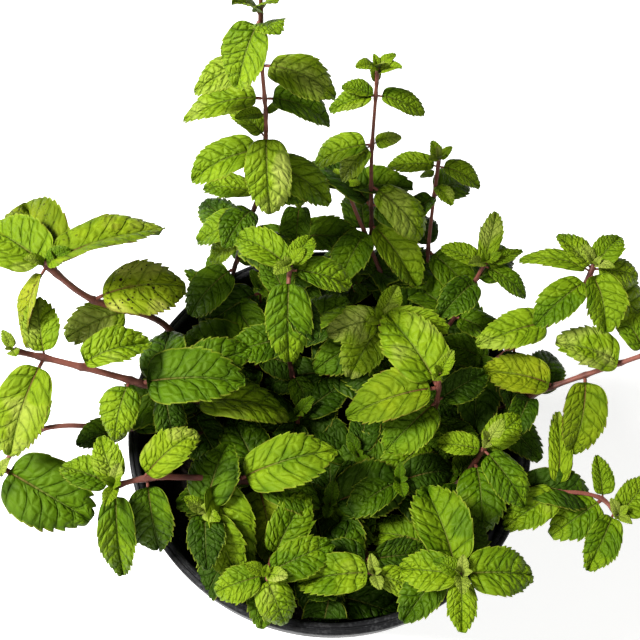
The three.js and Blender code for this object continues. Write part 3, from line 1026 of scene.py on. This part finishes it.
# How each stem is clothed lower down: the share of its length at its lowest and highest pair of
# plain leaves, and the number of pairs.
clothing = {
    "tall_back_left": (0.14, 0.42, 4), "back_centre": (0.15, 0.5, 4), "back_right": (0.25, 0.8, 3),
    "back_reddish": (0.25, 0.95, 4), "back_short": (0.25, 0.95, 4), "middle_left": (0.25, 0.8, 3),
    "left_upper": (0.12, 0.3, 1), "left_middle": (0.15, 0.5, 3), "left_lower": (0.15, 0.5, 2),
    "left_front": (0.15, 0.4, 2), "right_back": (0.3, 0.85, 3), "right_upper": (0.2, 0.5, 3),
    "right_middle": (0.15, 0.5, 3), "right_lower": (0.2, 0.5, 2), "centre_right": (0.2, 0.7, 3),
    "right_inner": (0.3, 0.6, 2), "front_right": (0.25, 0.75, 2), "front_centre": (0.3, 0.7, 2),
    "front_left": (0.3, 0.7, 2), "left_inner": (0.3, 0.95, 2), "middle_back": (0.25, 0.8, 3),
}
millimetre = 0.001
large_from = 40  # millimetres, from which a leaf takes the finer unit leaves


def pairs_up(rng, low, high, count, lengths, tones):
    """Opposite pairs of plain leaves up a stem, each pair a quarter turn from the one below."""
    plan = []
    start = rng.uniform(0, 180)
    for i in range(count):
        share = low + (high - low) * i / max(1, count - 1)
        for half_turn in (0, 180):
            bearing = start + 90 * i + half_turn + rng.uniform(-20, 20)
            plan.append((share + rng.uniform(-0.01, 0.01), bearing, rng.uniform(-22, 12),
                         rng.uniform(*lengths), rng.uniform(-15, 15), rng.uniform(0.54, 0.70),
                         rng.uniform(*tones), rng.uniform(0, 0.6), 0))
    return plan


def tuft(rng, tones=(0.6, 0.85)):
    """The two smallest pairs of leaves at a growing tip."""
    plan = []
    start = rng.uniform(0, 180)
    for size, rise, turn in ((13, 38, 0), (8, 62, 90)):
        for half_turn in (0, 180):
            plan.append((0.99, start + turn + half_turn, rise + rng.uniform(-8, 8),
                         size * rng.uniform(0.8, 1.2), 0, 0.55, rng.uniform(*tones), 0.1, 0))
    return plan


def leaf_plan(place):
    """Every smaller leaf of a stem: share, bearing, rise, length, roll, breadth and habit."""
    rng = random.Random(place)
    plan = []
    for share, bearing, rise, length, *rest in hand_placed.get(place, []):
        usual = [0, rng.uniform(0.54, 0.68), rng.uniform(0.4, 0.7), rng.uniform(0, 0.5), 0]
        plan.append((share, bearing, rise, length, *rest, *usual[len(rest):]))
    # The plain leaves lower down take deep greens: painted shade for the shaded inside of the
    # plant.
    plan += pairs_up(rng, *clothing[place], (28, 44), (-0.05, 0.4))
    return plan if place in cut_short else plan + tuft(rng)


def leaf_group(name, line, plan):
    """All the leaves of a plan, as one piece."""
    rng = random.Random(name)
    bm = bmesh.new()
    for i, (share, bearing, rise, length, roll, breadth, tone, age, blemish) in enumerate(plan):
        spine = grown_spine(line, share, bearing, rise, length * millimetre, roll,
                            arch=rng.uniform(0.06, 0.18))
        units = large_leaves if length > large_from else small_leaves
        mesh = leaf_mesh("leaf", units[i % len(units)], spine, breadth * length * millimetre,
                         (tone, age, blemish), rng, relief=rng.uniform(1.1, 1.5) - age,
                         fold=rng.uniform(0.15, 0.55))
        bm.from_mesh(mesh)
        bpy.data.meshes.remove(mesh)
    made = new_piece(name, mesh_from(bm, name), upper_material, underside_material)
    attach(made, "root")


for place, line in lines.items():
    plan = leaf_plan(place)
    leaf_group(f"small_leaves_{place}", line, plan)
    knots[place] += [share for share, *_ in plan]

stem_material = stem_skin()
for place, line in lines.items():
    mesh = stem_mesh(line, knots[place], slimness.get(place, usual_slimness),
                     cut_short.get(place, 1.0))
    stem = new_piece(f"mint_stem_{place}", mesh, stem_material)
    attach(stem, "root")
    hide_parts(f"stem_{place}")

# ---- The young shoots ----
# Short new shoots that come up between the stems and close over the compost.  Their leaves' deep
# green is painted shade for the pot's dark middle.  Each is its place (x, y) and its height in
# millimetres, and leans away from the pot's middle.
young_shoots = [
    (-16, 2, 26), (14, -14, 20), (4, -42, 22), (-34, -32, 28), (38, -28, 26), (-44, -60, 32),
    (-6, -72, 26), (8, -92, 30), (40, 22, 30), (-46, 38, 34), (2, 62, 30), (8, 84, 40),
    (-80, 2, 40), (-50, 74, 40), (80, 44, 38), (-4, 32, 24),
]
shoot_steps = 7
shoot_foot = 5  # millimetres that a shoot starts below the compost's top


def shoot_line(x, y, height, rng):
    """The middle line of a young shoot, from its place and height in millimetres."""
    away = math.atan2(y, x) + rng.uniform(-0.6, 0.6)
    points, radii = [], []
    for i in range(shoot_steps + 1):
        share = i / shoot_steps
        out = height * (0.32 * share - 0.12 * share ** 2)
        wander = 1.2 * noise.noise(Vector((x, y, 2 * share)))
        z = soil_top / millimetre - shoot_foot + (height + shoot_foot) * share
        points.append(Vector((x + out * math.cos(away) + wander,
                              y + out * math.sin(away) - wander, z)) * millimetre)
        radii.append((1.5 - 0.7 * share) * millimetre)
    return MiddleLine(points, radii)


for number, (x, y, height) in enumerate(young_shoots, 1):
    rng = random.Random(number)
    line = shoot_line(x, y, height, rng)
    # Deep tones for the pairs and the tuft: painted shade for the pot's dark middle.
    plan = pairs_up(rng, 0.5, 0.9, 2, (34, 50), (-0.2, 0.15)) + tuft(rng, (0.1, 0.3))
    leaf_group(f"shoot_leaves_{number}", line, plan)
    shoot = new_piece(f"shoot_stem_{number}", stem_mesh(line, [share for share, *_ in plan]),
                      stem_material)
    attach(shoot, "root")
